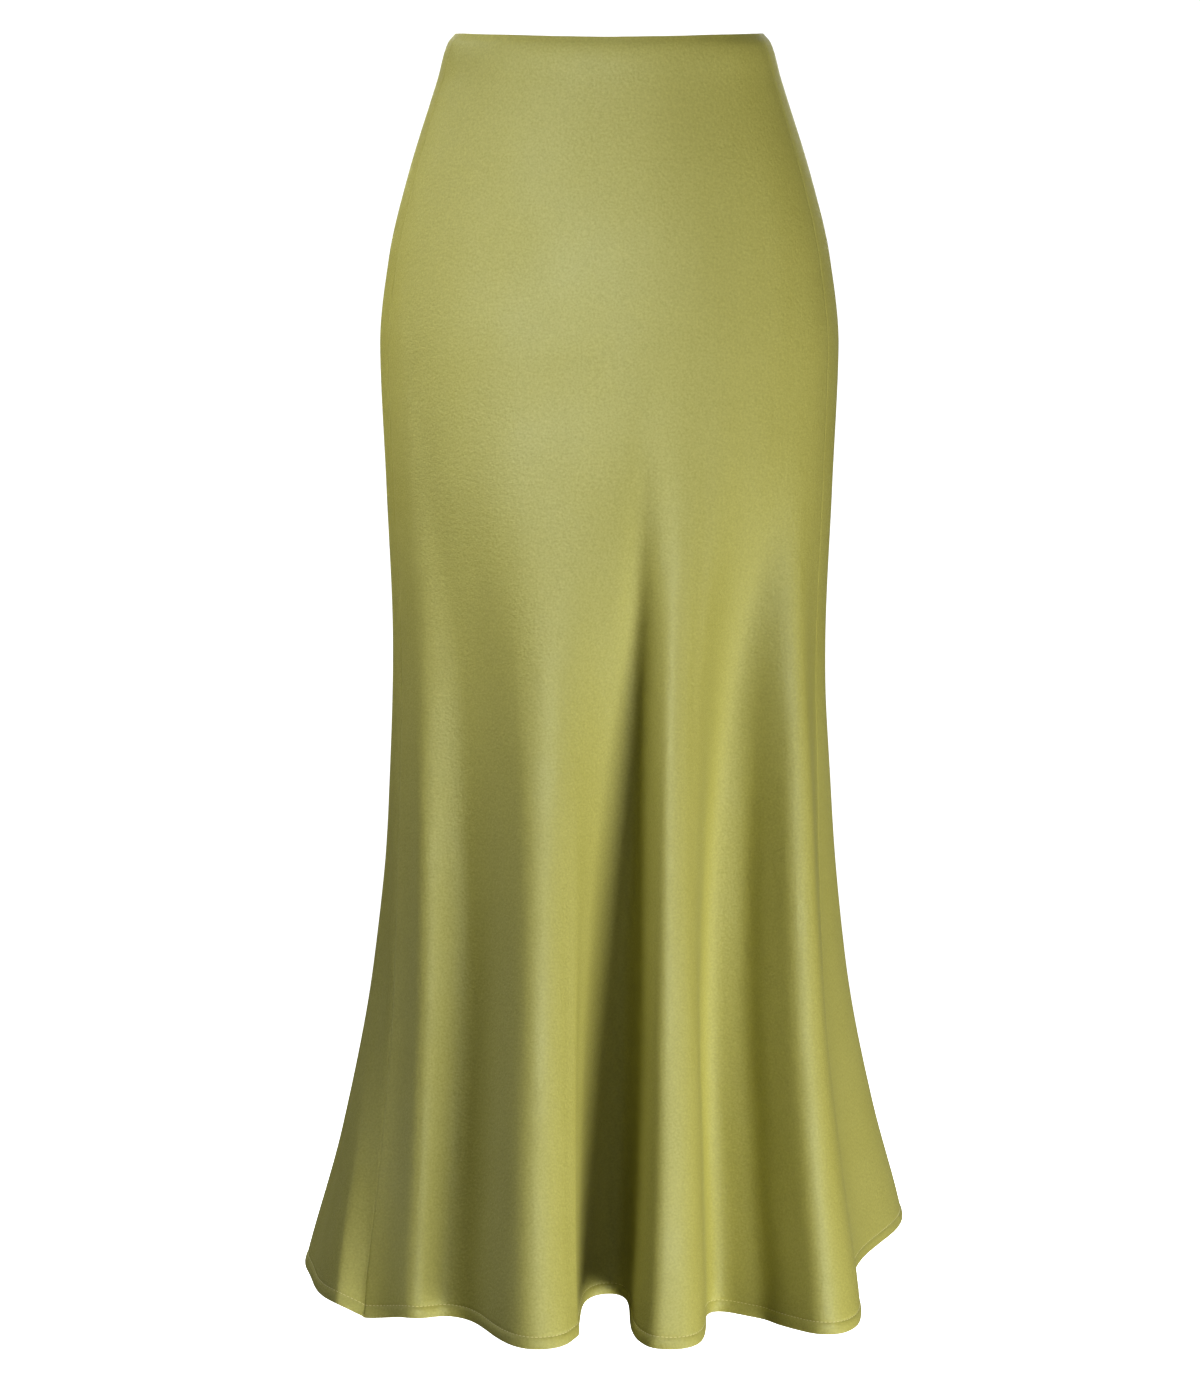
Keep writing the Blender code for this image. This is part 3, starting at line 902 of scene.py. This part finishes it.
@dataclass
class HemTurning:
    """The panel's own edge turned up inside, and its line of stitches.

    `lead_rows` are rows above the band that only steady its normals, as the rows beside the stitch line do,
    which lie `row_step` apart.
    """

    form: SkirtForm
    panel: Panel
    inside: float = 0.0010
    cloth: float = 0.0008
    depth: float = 0.0084
    rise: float = 0.0004
    rows: int = 11
    lead_rows: tuple[float, ...] = (0.030, 0.020, 0.012)
    puff: float = 0.0004
    puff_span: tuple[float, float] = (0.12, 0.90)
    places_per_fold: int = 160
    stitch_length: float = 0.0024
    stitch_pitch: float = 0.0031
    thread_radius: float = 0.00021
    thread_crown: float = 0.55
    thread_dip: float = 1.5
    thread_taper: float = 0.72
    thread_clearance: float = 0.0002
    thread_rings: int = 6
    thread_sides: int = 6
    row_step: float = 0.0015

    def build(self, material: bpy.types.Material) -> bpy.types.Object:
        """Make the turned-up band.

        Args:
            material: its satin, the darker copy that paints shade on the band.

        Returns:
            The band, riding on the skirt in place of its CAD node.
        """
        fine = LENGTH - np.linspace(self.depth, self.rise, self.rows)
        level = np.concatenate([LENGTH - np.array(self.lead_rows), fine, [LENGTH]])
        points, normal, _ = self.form.surface(level)
        keep = slice(len(self.lead_rows), -1)
        columns = self.panel.columns()
        outer = self.form.read_columns(points, columns)[keep]
        out = self.form.read_columns(normal, columns)[keep]
        out /= np.linalg.norm(out, axis=-1, keepdims=True)
        along = np.concatenate([np.zeros((len(outer), 1)),
                                np.cumsum(np.linalg.norm(np.diff(outer, axis=1), axis=-1), axis=1)], axis=1)
        flat = np.stack([along, np.broadcast_to(level[keep][:, None], along.shape)], axis=-1)
        puff = np.sin(np.pi * np.linspace(*self.puff_span, len(outer)))[:, None, None] * self.puff
        face, lining = outer - out * self.inside, outer - out * (self.inside + self.cloth + puff)
        name = f"hem_{self.panel.side.value}"
        piece = shell(f"{name}_cloth", face, lining, flat, material, edge_steps=3)
        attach(piece, "root")
        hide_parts(name)
        return piece

    def stitches(self, face: Face, material: bpy.types.Material) -> bpy.types.Object:
        """Make the stitches of one face: small spindles of thread, end to end along the stitch line.

        Each spindle is a ring of points carried along a short arc whose ends dip into the cloth: with t from
        -1 to 1 along it, it lies at (crown - dip * t^4) radii and is sqrt(1 - taper * t^4) radii thick.

        Args:
            face: the face of the cloth that they lie on.
            material: the thread.

        Returns:
            The stitches as one mesh.
        """
        level = LENGTH - self.form.hem_turning + self.row_step * np.array([-2.0, -1.0, 0.0, 1.0, 2.0])
        points, normal, _ = self.form.surface(level)
        folds = self.panel.last - self.panel.first
        places = np.linspace(self.panel.first, self.panel.last, folds * self.places_per_fold + 1)
        line = self.form.read_columns(points, places)[2]
        out = self.form.read_columns(normal, places)[2]
        deep = 0.0 if face is Face.OUTSIDE else self.inside + self.cloth + self.thread_clearance
        line = line - out * deep
        run = np.concatenate([[0.0], np.cumsum(np.linalg.norm(np.diff(line, axis=0), axis=-1))])
        number = int(run[-1] / self.stitch_pitch)
        centre_run = (np.arange(number) + 0.5) * run[-1] / number
        shares = np.linspace(-1, 1, self.thread_rings)
        at = centre_run[:, None] + shares[None] * self.stitch_length / 2
        centre = np.stack([np.interp(at, run, line[:, axis]) for axis in range(3)], axis=-1)
        outward = np.stack([np.interp(at, run, out[:, axis]) for axis in range(3)], axis=-1) * face.value
        outward /= np.linalg.norm(outward, axis=-1, keepdims=True)
        tangent = np.gradient(centre, axis=1)
        tangent /= np.linalg.norm(tangent, axis=-1, keepdims=True)
        across = np.cross(outward, tangent)
        arch = (self.thread_crown - self.thread_dip * shares**4) * self.thread_radius
        radius = self.thread_radius * np.sqrt(1 - self.thread_taper * shares**4)
        turn = np.linspace(0, 2 * np.pi, self.thread_sides, endpoint=False)
        ring = (across[:, :, None] * np.cos(turn)[:, None] + outward[:, :, None] * np.sin(turn)[:, None])
        body = (centre + outward * arch[None, :, None])[:, :, None] + ring * radius[None, :, None, None]
        rings, sides = self.thread_rings, self.thread_sides
        first = (np.arange(number) * rings * sides)[:, None, None]
        grid = first + (np.arange(rings) * sides)[None, :, None] + np.arange(sides)[None, None]
        after = np.roll(grid, -1, axis=2)
        quads = np.stack([grid[:, :-1], after[:, :-1], after[:, 1:], grid[:, 1:]], axis=-1).reshape(-1, 4)
        caps = grid[:, 0, ::-1].tolist() + grid[:, -1].tolist()
        name = f"hem_stitches_{self.panel.side.value}_{face.name.lower()}"
        piece = make_mesh(name, body, quads.tolist() + caps, material, sharp_above=180.0)
        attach(piece, "root")
        return piece


@dataclass
class Skirt:
    """The whole skirt."""

    form: SkirtForm = field(default_factory=SkirtForm)

    def build(self) -> list[bpy.types.Object]:
        """Make both panels with their hems, each given its cut's flat size and area.

        Returns:
            Every piece made.
        """
        # The hem band gets the darker satin, painted shade for the cloth inside the skirt.
        satin, turned, thread = SATIN.material(), TURNED_SATIN_PAINTED_SHADE.material(), HEM_THREAD.material()
        left, right = self.form.seams
        front = Panel(self.form, Side.FRONT, left, right, 30, flat=(0.790, 0.958), area=0.428)
        back = Panel(self.form, Side.BACK, right, self.form.count, 22, flat=(1.146, 0.958), area=0.578)
        pieces = []
        for panel in (front, back):
            cloth = panel.build(satin)
            hem = HemTurning(self.form, panel)
            sewn = [hem.build(turned), hem.stitches(Face.OUTSIDE, thread), hem.stitches(Face.INSIDE, thread)]
            pieces += [cloth, *sewn]
        return pieces


@dataclass(frozen=True)
class Softbox:
    """A flat lamp, aimed at the height `aim` on the skirt's middle line, its beam `spread` degrees wide."""

    name: str
    bearing: float
    height: float
    distance: float
    width: float
    tall: float
    power: float
    aim: float = -0.45
    spread: float = 180.0

    def place(self) -> bpy.types.Object:
        """Stand the lamp at its bearing from the front and turn it to the skirt.

        Returns:
            The lamp.
        """
        lamp = bpy.data.lights.new(self.name, "AREA")
        lamp.shape = "RECTANGLE"
        lamp.size, lamp.size_y = self.width, self.tall
        lamp.energy = self.power
        lamp.spread = np.radians(self.spread)
        stand = bpy.data.objects.new(self.name, lamp)
        angle = np.radians(self.bearing)
        stand.location = (self.distance * np.sin(angle), -self.distance * np.cos(angle), self.height)
        flat = np.hypot(stand.location.x, stand.location.y)
        stand.rotation_euler = (np.arctan2(flat, self.height - self.aim), 0.0, angle)
        stand.visible_camera = False
        bpy.context.scene.collection.objects.link(stand)
        return stand


@dataclass
class Studio:
    """Pale floor, soft lamps and the camera."""

    floor_drop: float = 1.75
    floor_size: float = 60.0
    camera_place: tuple[float, float, float] = (-0.0068, -2.6, 0.0)
    camera_tilt: float = 79.4775
    lens: float = 91.87
    sensor: float = 36.0
    lamps: tuple[Softbox, ...] = (
        Softbox("key_low", 39.0, -1.3, 1.9, 0.9, 0.6, 36.0, aim=-0.85),
        Softbox("front_low", 0.0, -1.3, 1.9, 0.9, 0.6, 2.8, aim=-0.85),
        Softbox("left_low", -97.0, -0.85, 1.0, 0.5, 0.4, 0.25, aim=-0.85, spread=70.0),
        Softbox("key_high", 33.0, 1.2, 1.9, 0.9, 0.6, 13.5, aim=-0.1),
        Softbox("left_high", -75.0, 1.2, 1.9, 0.9, 0.6, 4.0, aim=-0.1, spread=70.0),
        Softbox("left_near", -75.0, 0.1, 1.0, 0.5, 0.4, 0.40, aim=-0.25, spread=40.0),
        Softbox("back_left", -172.0, 0.7, 2.8, 1.4, 1.8, 30.0),
        Softbox("back_right", 166.0, 0.7, 2.8, 1.4, 1.8, 36.0),
    )

    def build(self) -> None:
        """Lay the floor, place the lamps, the surrounding light and the camera."""
        half = self.floor_size / 2
        corners = np.array([[-half, -half], [half, -half], [half, half], [-half, half]])
        points = np.column_stack([corners, np.full(4, -self.floor_drop)])
        floor = make_mesh("floor", points, [[0, 1, 2, 3]], FLOOR_FINISH.material())
        floor.visible_diffuse = False
        floor.visible_glossy = False
        for lamp in self.lamps:
            lamp.place()
        self.surround()
        self.aim_camera()

    @staticmethod
    def surround() -> None:
        """A plain white surround that only the camera sees."""
        world = bpy.data.worlds.new("studio")
        world.use_nodes = True
        backdrop = world.node_tree.nodes["Background"]
        backdrop.inputs["Color"].default_value = (1.0, 1.0, 1.0, 1.0)
        backdrop.inputs["Strength"].default_value = 1.0
        world.cycles_visibility.diffuse = False
        world.cycles_visibility.glossy = False
        bpy.context.scene.world = world
        bpy.context.scene.view_settings.view_transform = "Standard"
        bpy.context.scene.view_settings.look = "Medium High Contrast"

    def aim_camera(self) -> None:
        """Set the camera level with the waist edge, looking down the skirt."""
        lens = bpy.data.cameras.new("camera")
        lens.lens, lens.sensor_width = self.lens, self.sensor
        camera = bpy.data.objects.new("camera", lens)
        camera.location = self.camera_place
        camera.rotation_euler = (np.radians(self.camera_tilt), 0.0, 0.0)
        bpy.context.scene.collection.objects.link(camera)
        bpy.context.scene.camera = camera


def main() -> None:
    """Build the skirt and its studio, and report each piece."""
    logging.basicConfig(level=logging.INFO, format="%(name)s: %(message)s")
    for piece in Skirt().build():
        LOG.info("%s: %d vertices, %d faces", piece.name, len(piece.data.vertices), len(piece.data.polygons))
    Studio().build()


if __name__ == "__main__":
    main()
